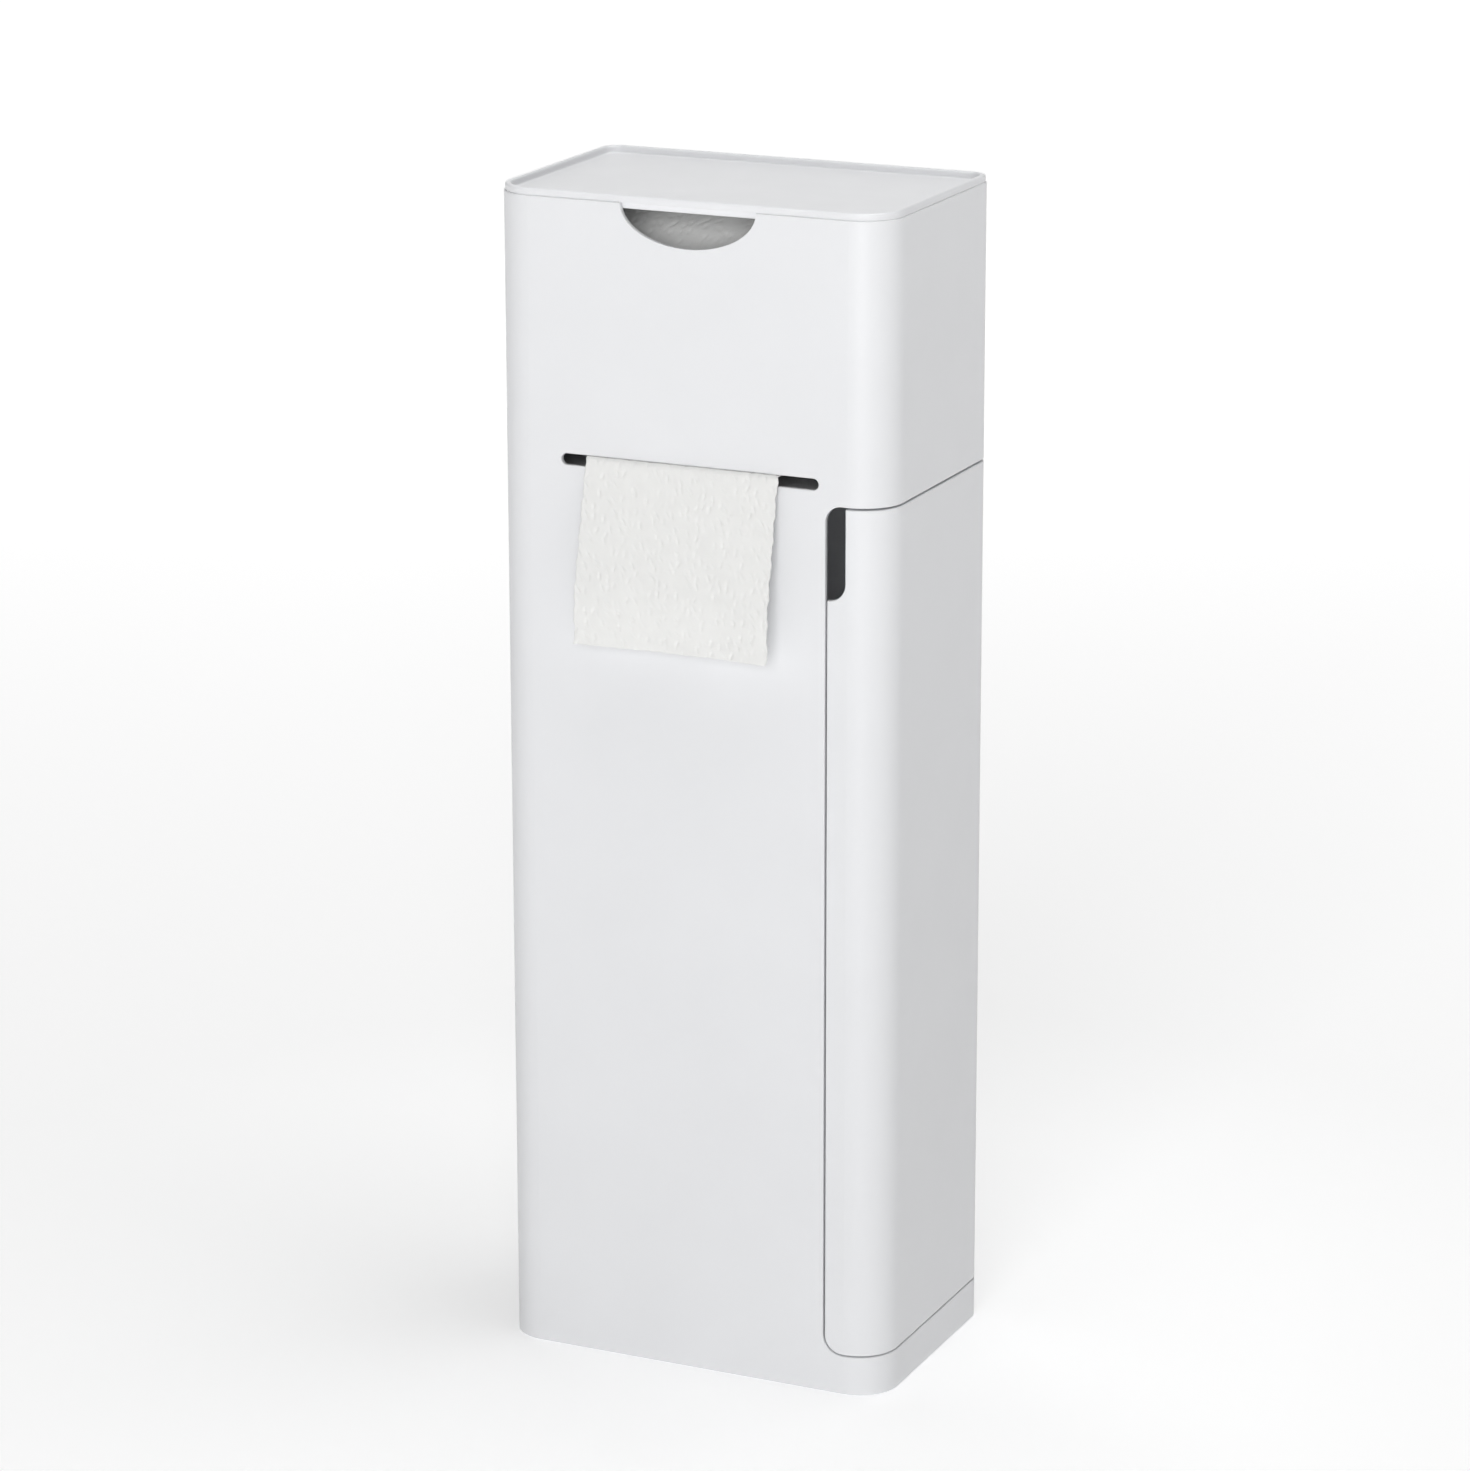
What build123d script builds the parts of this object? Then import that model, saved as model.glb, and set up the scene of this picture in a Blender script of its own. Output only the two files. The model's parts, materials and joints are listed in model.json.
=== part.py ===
from build123d import *
import os
from math import sqrt

# A freestanding toilet butler: a tall plastic column with a lift-off tray lid, a bay for
# the paper roll in use with a slot in its front wall, and a door that wraps round the right
# side and carries the toilet brush. Spare rolls stand beside the brush.
# Millimetres. X runs to the right, Y to the rear, Z up. The origin is on the floor, at the
# centre of the footprint.

# Column
width = 205.0
height = 585.0
wall = 2.5
front_radius = 20.0
rear_radius = 10.0
edge_round = 0.6
fit_gap = 0.3
overlap = 0.5
cut_margin = 5.0

# Paper roll, which sets the depth of the column and the height of the upper bay
roll_radius = 60.0
roll_width = 101.0
roll_x = -2.0
roll_side_gap = 1.5
roll_top_gap = 2.1
roll_floor_gap = 7.8
core_radius = 21.5
core_wall = 1.4
core_play = 0.1

depth = 2 * (roll_radius + roll_side_gap + wall)
half_width = width / 2
half_depth = depth / 2

# Anti-slip mat, base and plinth
mat_thickness = 1.5
mat_inset = 12.0
mat_corner = 14.0
shell_lift = 1.2
base_thickness = 2.5
plinth_height = 20.95
base_top = mat_thickness + base_thickness

# Lid
rim_height = 3.5
rim_inset = 0.6
rim_width = 3.0
rim_round = 1.2
tray_round = 0.9
rim_foot_round = 0.4
lid_floor = 2.0
skirt_depth = 3.0
skirt_wall = 1.8
lid_seam = height - rim_height

# Upper bay
shelf_thickness = 2.5
roll_z = lid_seam - skirt_depth - roll_top_gap - roll_radius
roll_bottom = roll_z - roll_radius
shelf_top = roll_bottom - roll_floor_gap
shelf_bottom = shelf_top - shelf_thickness

# Paper slot and finger notch in the front wall
slot_length = 133.8
slot_height = 5.5
slot_x = 1.0
slot_drop = 0.65
notch_half_width = 35.0
notch_depth = 19.7
notch_x = 1.0
slot_z = roll_bottom - slot_drop

# Doorway and door
door_face = 31.0
side_seam = 1.0
top_seam = 1.0
sill_seam = 0.7
doorway_top_corner = 8.0
doorway_sill_corner = 10.0
door_foot_corner = 9.2
grip_width = 9.2
grip_height = 44.6
grip_corner = 8.6
flange_thickness = 2.5
flange_width = 11.0
doorway_left = half_width - door_face
doorway_bottom = plinth_height
doorway_top = shelf_bottom
door_left = doorway_left + side_seam
door_bottom = doorway_bottom + sill_seam
door_top = doorway_top - top_seam
grip_right = door_left + grip_width
grip_sill = door_top - grip_height

# Hinge, at the centre of the rear corner so that the door's rounded edge turns on the spot
pin_radius = 2.0
pin_play = 0.05
pin_head_radius = 3.5
pin_head_height = 1.5
pin_end_gap = 0.8
bush_wall = 1.2
thrust_play = 0.05
thrust_radius = 5.0
hub_radius = 6.0
hub_height = 8.0
boss_radius = 6.0
upper_boss_height = 14.0
hinge_x = half_width - rear_radius
hinge_y = half_depth - rear_radius
bush_radius = pin_radius + pin_play + bush_wall

# Back panel, with a rolled edge that the door's rear corner turns inside
lip_width = 8.5
panel_gap = 0.4
turn_gap = 0.4
trough_wall = 2.5
trough_drop = 5.0
rail_width = 30.0
rail_depth = 5.0
rail_head_room = 3.5
lug_width = 28.0
lug_depth = 5.0
lug_height = 14.0
lip_end = hinge_x - lip_width
trough_inner = rear_radius + turn_gap
trough_outer = trough_inner + trough_wall

# Countersunk screws
screw_radius = 1.5
screw_head = 2.9
screw_head_height = 1.6
screw_play = 0.05
screw_clearance = 0.2
recess_length = 3.0
recess_width = 0.7
recess_depth = 1.1
screw_boss = 4.5
boss_height = 14.0
base_screw_length = 12.0
shelf_screw_length = 12.0
panel_screw_length = 7.0
cradle_screw_length = 5.0
strike_screw_length = 5.0
bracket_screw_length = 6.3

# Cradles and spindle for the roll in use
cradle_gap = 2.5
cradle_wall = 3.0
cradle_foot = 15.0
cradle_width = 44.0
cradle_top_width = 26.0
cradle_rise = 8.0
cradle_round = 3.0
cradle_hole_spacing = 30.0
spindle_pin = 5.0
spindle_play = 0.08
spindle_cap = 7.5
spindle_cap_length = 3.5
spindle_cap_round = 1.2
spindle_end_play = 0.4
barrel_play = 0.3

# Paper that hangs out of the slot
paper_thickness = 0.6
paper_gap = 0.35
tail_margin = 0.1
tail_lip = 2.2
tail_lip_round = 3.5
tail_rise = 1.6
tail_bow = 14.8
tail_bow_drop = 62.0
tail_bow_round = 60.0
tail_end = 13.2
tail_drop = 89.0

# Toilet brush and its cup
cup_radius = 34.0
cup_taper = 2.0
cup_wall = 2.2
cup_floor = 3.0
cup_height = 90.0
cup_round = 3.0
cup_side_gap = 2.0
cup_y = 10.0
cup_play = 0.5
cup_lift = 12.0
brush_lift = 85.0
brush_top_gap = 3.0
brush_floor_gap = 4.5
bristle_radius = 25.0
bristle_length = 64.0
bristle_tip = 5.0
bristle_round = 9.0
head_radius = 10.0
head_neck = 8.0
head_round = 4.0
rod_radius = 4.5
rod_socket = 12.0
rod_play = 0.05
grip_radius = 9.0
grip_waist = 7.4
grip_length = 118.0
collar_overhang = 1.0
collar_wall = 1.8
collar_rise = 5.0
collar_hub = 8.0
collar_hub_height = 13.0

# Bracket that carries the cup on the door
bracket_plate = 2.5
bracket_width = 44.0
bracket_height = 86.0
bracket_floor = 2.5
bracket_lift = 6.5
bracket_lip = 8.0
bracket_lip_wall = 2.0
bracket_round = 6.0
bracket_boss = 3.0
bracket_hole_spacing = 26.0
bracket_hole_inset = 12.0

# Magnetic catch behind the door's free edge
catch_z = 340.0
magnet_width = 8.0
magnet_thickness = 4.0
magnet_height = 18.0
magnet_inset = 2.0
catch_gap = 0.3
strike_thickness = 1.6
strike_height = 26.0
strike_foot = 13.0
strike_setback = 2.5
strike_hole_spacing = 14.0

front_plane = Plane.XZ.offset(half_depth)
hang_down = (Align.CENTER, Align.CENTER, Align.MAX)
stand_up = (Align.CENTER, Align.CENTER, Align.MIN)


# Helpers that several pieces share

def footprint(inset):
    """Plan outline of the column, drawn inset from its outside face."""
    with BuildSketch(mode=Mode.PRIVATE) as plan:
        Rectangle(width - 2 * inset, depth - 2 * inset)
        fillet(plan.vertices().group_by(Axis.Y)[0], front_radius - inset)
        fillet(plan.vertices().group_by(Axis.Y)[-1], rear_radius - inset)
    return plan.sketch


def facing(x, y, z, direction):
    """A plane at a point, with its normal along the direction given."""
    return Plane(origin=(x, y, z), z_dir=direction)


def section_at(x, y):
    """An upright plane through a vertical axis: its X is the radius and its Y the height."""
    return Plane(origin=(x, y, 0), x_dir=(1, 0, 0), z_dir=(0, -1, 0))


def upright_axis(x, y):
    """The vertical axis through a point of the plan."""
    return Axis((x, y, 0), (0, 0, 1))


def inset_of(edge):
    """How far an edge's middle lies inside the column's outside face."""
    point = edge.position_at(0.5)
    side = half_width - abs(point.X)
    end = half_depth - abs(point.Y)
    radius = front_radius if point.Y < 0 else rear_radius
    if side < radius and end < radius:
        return radius - sqrt((radius - side) ** 2 + (radius - end) ** 2)
    return min(side, end)


def level_edges(builder, z, inset=0.0):
    """Edges that run level at height z, at one inset from the outside face."""
    level = builder.edges().filter_by_position(Axis.Z, z - 0.01, z + 0.01)
    return ShapeList([edge for edge in level if abs(inset_of(edge) - inset) < 0.01])


def front_edges(builder, left, right, low, high):
    """Edges in the flat of the front face whose middles lie within a rectangle of it."""
    found = builder.edges().filter_by_position(Axis.Y, -half_depth - 0.01, -half_depth + 0.01)
    found = found.filter_by_position(Axis.X, left - 0.01, right + 0.01)
    return found.filter_by_position(Axis.Z, low - 0.01, high + 0.01)


def make_screws(places, length):
    """Countersunk screws with crossed recesses, their heads flush with the planes given."""
    with BuildPart() as screws:
        with Locations(*places):
            Cylinder(screw_radius, length, align=hang_down)
            Cone(screw_radius, screw_head, screw_head_height, align=hang_down)
            Box(recess_length, recess_width, recess_depth, align=hang_down, mode=Mode.SUBTRACT)
            Box(recess_width, recess_length, recess_depth, align=hang_down, mode=Mode.SUBTRACT)
    return screws


def drill_seats(places, thickness):
    """Clearance holes with seats for countersunk heads, in the part being built."""
    with Locations(*places):
        Cylinder(screw_radius + screw_clearance, thickness + overlap, align=hang_down,
                 mode=Mode.SUBTRACT)
        Cone(screw_radius, screw_head, screw_head_height, align=hang_down, mode=Mode.SUBTRACT)


def drill_pilots(places, length):
    """Pilot holes that the screws cut their thread in, in the part being built."""
    with Locations(*places):
        Cylinder(screw_radius + screw_play, length + overlap, align=hang_down, mode=Mode.SUBTRACT)


outer_plan = footprint(0)
middle_plan = footprint(wall / 2)
inner_plan = footprint(wall)
plate_plan = footprint(wall + fit_gap)
rim_plan = footprint(rim_inset)
tray_plan = footprint(rim_inset + rim_width)
hollow_plan = footprint(wall + fit_gap + skirt_wall)

# Screw places of the base and the shelf, in bosses along the side walls
boss_x = half_width - wall - screw_boss + overlap
boss_points = [(-boss_x, -depth / 4), (boss_x, -depth / 4), (-boss_x, depth / 4), (boss_x, depth / 8)]
base_places = [facing(x, y, mat_thickness, (0, 0, -1)) for x, y in boss_points]
shelf_places = [facing(x, y, shelf_bottom, (0, 0, -1)) for x, y in boss_points]

# Screw places of the back panel, in the shell's rails and in lugs of the base and the shelf
low_rail_bottom = base_top + fit_gap
low_rail_span = shelf_bottom - low_rail_bottom
high_rail_bottom = shelf_top + fit_gap
right_rail_bottom = shelf_top + upper_boss_height + pin_head_height + fit_gap
rail_top = lid_seam - skirt_depth - rail_head_room
rail_screw_x = lip_end - panel_gap - 2 * screw_head
lug_x = width / 4
panel_points = [(-rail_screw_x, low_rail_bottom + share * low_rail_span)
                for share in (0.1, 0.5, 0.9)]
panel_points += [(-rail_screw_x, (high_rail_bottom + rail_top) / 2)]
panel_points += [(rail_screw_x, (right_rail_bottom + rail_top) / 2)]
panel_points += [(lug_x, base_top + lug_height / 2), (lug_x, shelf_top + lug_height / 2)]
panel_places = [facing(x, half_depth, z, (0, 1, 0)) for x, z in panel_points]

# Places of the catch
magnet_x = door_left + magnet_inset + magnet_width / 2
magnet_y = -half_depth + wall
strike_y = magnet_y + magnet_thickness + catch_gap
strike_foot_x = doorway_left - strike_setback - strike_foot / 2
strike_places = [facing(strike_foot_x, strike_y + strike_thickness, catch_z + shift, (0, 1, 0))
                 for shift in (-strike_hole_spacing / 2, strike_hole_spacing / 2)]

# Places of the cup, its bracket and the brush
bracket_face = half_width - wall - bracket_boss - bracket_plate
bracket_bottom = door_bottom + bracket_lift
bracket_rows = (bracket_bottom + bracket_hole_inset, bracket_bottom + bracket_height - bracket_hole_inset)
bracket_places = [facing(bracket_face, cup_y + side * bracket_hole_spacing / 2, z, (-1, 0, 0))
                  for side in (-1, 1) for z in bracket_rows]
cup_x = bracket_face - cup_side_gap - cup_radius
cup_foot = cup_radius - cup_taper
cup_bottom = bracket_bottom + bracket_floor
cup_top = cup_bottom + cup_height
brush_bottom = cup_bottom + cup_floor + brush_floor_gap
brush_top = doorway_top - brush_top_gap - cup_lift - brush_lift
head_top = brush_bottom + bristle_length + head_neck
rod_bottom = head_top - rod_socket
grip_bottom = brush_top - grip_length

# Places of the cradles that hold the spindle
cradle_inner = roll_width / 2 + cradle_gap
cradle_outer = cradle_inner + cradle_wall
foot_middle = cradle_inner + (cradle_foot + cradle_wall) / 2
cradle_places = [facing(roll_x + side * foot_middle, shift, shelf_top + cradle_wall, (0, 0, 1))
                 for side in (-1, 1)
                 for shift in (-cradle_hole_spacing / 2, cradle_hole_spacing / 2)]


os.makedirs("parts", exist_ok=True)

# Front shell: the column's front, left side, plinth and upper bay in one moulding
with BuildPart() as front_shell:
    with BuildSketch(Plane.XY.offset(shell_lift)):
        add(outer_plan)
        add(inner_plan, mode=Mode.SUBTRACT)
        with Locations((0, half_depth)):
            Rectangle(2 * lip_end, 4 * wall, mode=Mode.SUBTRACT)
    extrude(amount=lid_seam - shell_lift)
    fillet(level_edges(front_shell, lid_seam), edge_round)

    # Rails for the back panel: low and high on the left, high on the right
    for side, bottom, top in ((-1, low_rail_bottom, shelf_bottom),
                              (-1, high_rail_bottom, rail_top),
                              (1, right_rail_bottom, rail_top)):
        with BuildSketch(Plane.XY.offset(bottom)):
            with Locations((side * (half_width - rail_width / 2), half_depth - wall - rail_depth / 2)):
                Rectangle(rail_width, rail_depth)
            add(middle_plan, mode=Mode.INTERSECT)
        extrude(amount=top - bottom)

    # Bosses for the base and shelf screws
    for bottom in (base_top, shelf_top):
        with BuildSketch(Plane.XY.offset(bottom)):
            with Locations(*boss_points):
                Circle(screw_boss)
            add(middle_plan, mode=Mode.INTERSECT)
        extrude(amount=boss_height)

    # Block that carries the strike plate
    with Locations((strike_foot_x, magnet_y - overlap, catch_z)):
        Box(strike_foot, strike_y - magnet_y + overlap, strike_height,
            align=(Align.CENTER, Align.MIN, Align.CENTER))

    # Doorway round the right side
    with BuildSketch(front_plane) as doorway:
        with Locations((doorway_left, doorway_bottom)):
            Rectangle(door_face + cut_margin, doorway_top - doorway_bottom,
                      align=(Align.MIN, Align.MIN))
        left_corners = doorway.vertices().group_by(Axis.X)[0].sort_by(Axis.Y)
        fillet(left_corners[0], doorway_sill_corner)
        top_left = doorway.vertices().group_by(Axis.Y)[-1].sort_by(Axis.X)[0]
        fillet(top_left, doorway_top_corner)
    extrude(amount=-depth, mode=Mode.SUBTRACT)

    # Paper slot and finger notch
    with BuildSketch(front_plane):
        with Locations((slot_x, slot_z)):
            SlotOverall(slot_length, slot_height)
        with Locations((notch_x, lid_seam)):
            Ellipse(notch_half_width, notch_depth)
    extrude(amount=-2 * wall, mode=Mode.SUBTRACT)

    # Rounded edges that catch the light
    fillet(front_edges(front_shell, slot_x - slot_length / 2, slot_x + slot_length / 2,
                       slot_z - slot_height / 2, slot_z + slot_height / 2), edge_round)
    doorway_edges = level_edges(front_shell, doorway_top)
    doorway_edges += level_edges(front_shell, doorway_bottom)
    doorway_edges += front_edges(front_shell, doorway_left, doorway_left + doorway_sill_corner,
                                 doorway_bottom + overlap, doorway_top - overlap)
    fillet(doorway_edges, edge_round)

    drill_pilots([place.offset(-base_thickness) for place in base_places],
                 base_screw_length - base_thickness)
    drill_pilots([place.offset(-shelf_thickness) for place in shelf_places],
                 shelf_screw_length - shelf_thickness)
    drill_pilots(panel_places[:5], panel_screw_length)
    drill_pilots([place.offset(-strike_thickness) for place in strike_places],
                 strike_screw_length - strike_thickness)
front_shell.part.label = "front_shell"
export_step(front_shell.part, "parts/front_shell.step")

# Back panel, with the trough that the door's rear corner turns inside
with BuildPart() as back_panel:
    with BuildSketch(Plane.XY.offset(base_top - base_thickness + fit_gap)):
        with Locations((0, half_depth - wall / 2)):
            Rectangle(2 * (lip_end - panel_gap), wall)
    extrude(amount=lid_seam - base_top + base_thickness - 2 * fit_gap)
    with BuildSketch(Plane.XY.offset(doorway_bottom + fit_gap)):
        with Locations((hinge_x, hinge_y)):
            Circle(trough_outer)
        with Locations((hinge_x, hinge_y - trough_drop)):
            Rectangle(2 * rear_radius, rear_radius + trough_drop, align=(Align.MAX, Align.MIN),
                      mode=Mode.INTERSECT)
        with Locations((hinge_x, half_depth)):
            Rectangle(hinge_x - lip_end + overlap, wall, align=(Align.MAX, Align.MAX))
        with Locations((hinge_x, hinge_y)):
            Circle(trough_inner, mode=Mode.SUBTRACT)
    extrude(amount=doorway_top - doorway_bottom - 2 * fit_gap)
    drill_seats(panel_places, wall)
back_panel.part.label = "back_panel"
export_step(back_panel.part, "parts/back_panel.step")

# Base plate, with the boss of the lower hinge pin and a lug for the back panel
with BuildPart() as base_plate:
    with BuildSketch(Plane.XY.offset(mat_thickness)):
        add(plate_plan)
    extrude(amount=base_thickness)
    with BuildSketch(Plane.XY.offset(base_top)):
        with Locations((hinge_x, hinge_y)):
            Circle(boss_radius)
    extrude(amount=doorway_bottom - base_top)
    with Locations((lug_x, half_depth - wall, base_top - overlap)):
        Box(lug_width, lug_depth, lug_height + overlap, align=(Align.CENTER, Align.MAX, Align.MIN))
    with Locations((hinge_x, hinge_y, doorway_bottom)):
        Cylinder(pin_radius + screw_play, doorway_bottom - base_top, align=hang_down,
                 mode=Mode.SUBTRACT)
    drill_seats(base_places, base_thickness)
    drill_pilots(panel_places, panel_screw_length)
base_plate.part.label = "base_plate"
export_step(base_plate.part, "parts/base_plate.step")

# Shelf under the roll bay, with the boss of the upper hinge pin and a lug for the back panel
with BuildPart() as mid_shelf:
    with BuildSketch(Plane.XY.offset(shelf_bottom)):
        add(plate_plan)
    extrude(amount=shelf_thickness)
    with BuildSketch(Plane.XY.offset(shelf_top)):
        with Locations((hinge_x, hinge_y)):
            Circle(boss_radius)
    extrude(amount=upper_boss_height)
    with Locations((lug_x, half_depth - wall, shelf_top - overlap)):
        Box(lug_width, lug_depth, lug_height + overlap, align=(Align.CENTER, Align.MAX, Align.MIN))
    with Locations((hinge_x, hinge_y, shelf_bottom)):
        Cylinder(pin_radius + screw_play, shelf_thickness + upper_boss_height, align=stand_up,
                 mode=Mode.SUBTRACT)
    drill_seats(shelf_places, shelf_thickness)
    drill_pilots([place.offset(-cradle_wall) for place in cradle_places],
                 cradle_screw_length - cradle_wall - overlap)
    drill_pilots(panel_places, panel_screw_length)
mid_shelf.part.label = "mid_shelf"
export_step(mid_shelf.part, "parts/mid_shelf.step")

# Anti-slip mat that the column stands on
with BuildPart() as base_mat:
    with BuildSketch():
        RectangleRounded(width - 2 * mat_inset, depth - 2 * mat_inset, mat_corner)
    extrude(amount=mat_thickness)
base_mat.part.label = "base_mat"
export_step(base_mat.part, "parts/base_mat.step")

# Tray lid, plugged into the top of the column by a short skirt
with BuildPart() as lid:
    with BuildSketch(Plane.XY.offset(lid_seam)):
        add(rim_plan)
    extrude(amount=rim_height)
    with BuildSketch(Plane.XY.offset(lid_seam)):
        add(tray_plan)
    extrude(amount=rim_height, mode=Mode.SUBTRACT)
    fillet(lid.edges().group_by(Axis.Z)[-1], rim_round)
    with BuildSketch(Plane.XY.offset(lid_seam)):
        add(plate_plan)
    extrude(amount=-skirt_depth)
    with BuildSketch(Plane.XY.offset(lid_seam - skirt_depth)):
        add(hollow_plan)
    extrude(amount=skirt_depth - lid_floor, mode=Mode.SUBTRACT)
    fillet(level_edges(lid, lid_seam, rim_inset + rim_width), tray_round)
    fillet(level_edges(lid, lid_seam, rim_inset), rim_foot_round)
lid.part.label = "lid"
export_step(lid.part, "parts/lid.step")

# Door: front leg, whole right side and rear corner, stiffened by a flange at each end
with BuildPart() as door_shell:
    with BuildSketch(Plane.XY.offset(door_bottom)):
        add(outer_plan)
        add(inner_plan, mode=Mode.SUBTRACT)
        with Locations((door_left, hinge_y)):
            Rectangle(depth, depth, align=(Align.MIN, Align.MAX), mode=Mode.INTERSECT)
    extrude(amount=door_top - door_bottom)
    with BuildSketch(Plane.XY.offset(door_bottom)):
        add(outer_plan)
        add(inner_plan, mode=Mode.SUBTRACT)
        with Locations((hinge_x, hinge_y - overlap)):
            Rectangle(depth, depth, align=(Align.MIN, Align.MIN), mode=Mode.INTERSECT)
    extrude(amount=door_top - door_bottom)
    for bottom in (door_bottom, door_top - flange_thickness):
        with BuildSketch(Plane.XY.offset(bottom)):
            with Locations((half_width - wall - flange_width, hinge_y)):
                Rectangle(depth, depth, align=(Align.MIN, Align.MAX))
            with Locations((door_left, -half_depth + wall + flange_width)):
                Rectangle(depth, depth, align=(Align.MIN, Align.MAX))
            add(middle_plan, mode=Mode.INTERSECT)
            with Locations((hinge_x, hinge_y)):
                Circle(rear_radius - wall / 2)
        extrude(amount=flange_thickness)
    for bottom in (door_bottom, door_top - hub_height):
        with BuildSketch(Plane.XY.offset(bottom)):
            with Locations((hinge_x, hinge_y)):
                Circle(hub_radius)
        extrude(amount=hub_height)
    with Locations((hinge_x, hinge_y, door_bottom)):
        Cylinder(bush_radius, door_top - door_bottom, align=stand_up, mode=Mode.SUBTRACT)

    # Bosses for the cup bracket
    with Locations(*[place.offset(-bracket_plate) for place in bracket_places]):
        Cylinder(screw_boss, bracket_boss + overlap, align=hang_down)
    drill_pilots([place.offset(-bracket_plate) for place in bracket_places],
                 bracket_screw_length - bracket_plate - overlap)

    # Front outline, with the finger cut-out at its top left
    with BuildSketch(front_plane):
        with BuildLine():
            Line((door_left, door_bottom + door_foot_corner), (door_left, grip_sill))
            Line((door_left, grip_sill), (grip_right - grip_corner, grip_sill))
            RadiusArc((grip_right - grip_corner, grip_sill), (grip_right, grip_sill + grip_corner),
                      -grip_corner)
            Polyline((grip_right, grip_sill + grip_corner), (grip_right, door_top),
                     (half_width + cut_margin, door_top), (half_width + cut_margin, door_bottom),
                     (door_left + door_foot_corner, door_bottom))
            RadiusArc((door_left + door_foot_corner, door_bottom),
                      (door_left, door_bottom + door_foot_corner), door_foot_corner)
        make_face()
    extrude(amount=-depth, mode=Mode.INTERSECT)
    door_edges = level_edges(door_shell, door_top)
    door_edges += level_edges(door_shell, door_bottom)
    door_edges += front_edges(door_shell, door_left, grip_right,
                              door_bottom + overlap, door_top - overlap)
    fillet(door_edges, edge_round)
door_shell.part.label = "door_shell"
export_step(door_shell.part, "parts/door_shell.step")


def make_bush(end, direction):
    """A flanged bush pressed in one end of the door, its collar towards the fixed boss."""
    with BuildPart() as bush:
        with Locations(facing(hinge_x, hinge_y, end, (0, 0, direction))):
            Cylinder(bush_radius, hub_height, align=hang_down)
            Cylinder(thrust_radius, sill_seam - thrust_play, align=stand_up)
            Cylinder(pin_radius + pin_play, 2 * hub_height + height, mode=Mode.SUBTRACT)
    return bush


lower_bush = make_bush(door_bottom, -1)
lower_bush.part.label = "hinge_bush_lower"
export_step(lower_bush.part, "parts/hinge_bush_lower.step")

upper_bush = make_bush(door_top, 1)
upper_bush.part.label = "hinge_bush_upper"
export_step(upper_bush.part, "parts/hinge_bush_upper.step")

# Hinge pins: the lower one stands in the base, the upper one drops in from the roll bay
with BuildPart() as hinge_pin_lower:
    with Locations((hinge_x, hinge_y, base_top)):
        Cylinder(pin_radius, door_bottom + hub_height - pin_end_gap - base_top, align=stand_up)
    chamfer(hinge_pin_lower.edges().group_by(Axis.Z)[-1], pin_radius / 4)
hinge_pin_lower.part.label = "hinge_pin_lower"
export_step(hinge_pin_lower.part, "parts/hinge_pin_lower.step")

with BuildPart() as hinge_pin_upper:
    with Locations((hinge_x, hinge_y, shelf_top + upper_boss_height)):
        Cylinder(pin_radius, upper_boss_height + shelf_top - door_top + hub_height - pin_end_gap,
                 align=hang_down)
        Cylinder(pin_head_radius, pin_head_height, align=stand_up)
    chamfer(hinge_pin_upper.edges().group_by(Axis.Z)[0], pin_radius / 4)
hinge_pin_upper.part.label = "hinge_pin_upper"
export_step(hinge_pin_upper.part, "parts/hinge_pin_upper.step")

# Magnetic catch: the magnet rides on the door, the steel strike plate stays with the shell
with BuildPart() as catch_magnet:
    with Locations((magnet_x, magnet_y, catch_z)):
        Box(magnet_width, magnet_thickness, magnet_height, align=(Align.CENTER, Align.MIN, Align.CENTER))
    chamfer(catch_magnet.edges().filter_by(Axis.Y), edge_round)
catch_magnet.part.label = "catch_magnet"
export_step(catch_magnet.part, "parts/catch_magnet.step")

with BuildPart() as strike_plate:
    plate_left = strike_foot_x - strike_foot / 2
    with Locations((plate_left, strike_y, catch_z)):
        Box(magnet_x + magnet_width / 2 - plate_left, strike_thickness, strike_height,
            align=(Align.MIN, Align.MIN, Align.CENTER))
    chamfer(strike_plate.edges().filter_by(Axis.Y), 2 * edge_round)
    with Locations(*strike_places):
        Cylinder(screw_radius + screw_clearance, 2 * strike_thickness, mode=Mode.SUBTRACT)
        Cone(screw_radius, screw_head, screw_head_height, align=hang_down, mode=Mode.SUBTRACT)
strike_plate.part.label = "strike_plate"
export_step(strike_plate.part, "parts/strike_plate.step")

# Roll in use: paper wound on a core, on a spindle that turns in two open cradles
axle_left = Plane(origin=(roll_x, 0, roll_z), z_dir=(-1, 0, 0))
axle_right = Plane(origin=(roll_x, 0, roll_z), z_dir=(1, 0, 0))

with BuildPart() as paper_roll:
    with BuildSketch(axle_right):
        Circle(roll_radius)
        Circle(core_radius + core_play, mode=Mode.SUBTRACT)
    extrude(amount=roll_width / 2, both=True)
paper_roll.part.label = "paper_roll"
export_step(paper_roll.part, "parts/paper_roll.step")

with BuildPart() as roll_core:
    with BuildSketch(axle_right):
        Circle(core_radius)
        Circle(core_radius - core_wall, mode=Mode.SUBTRACT)
    extrude(amount=roll_width / 2, both=True)
roll_core.part.label = "roll_core"
export_step(roll_core.part, "parts/roll_core.step")

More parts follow.
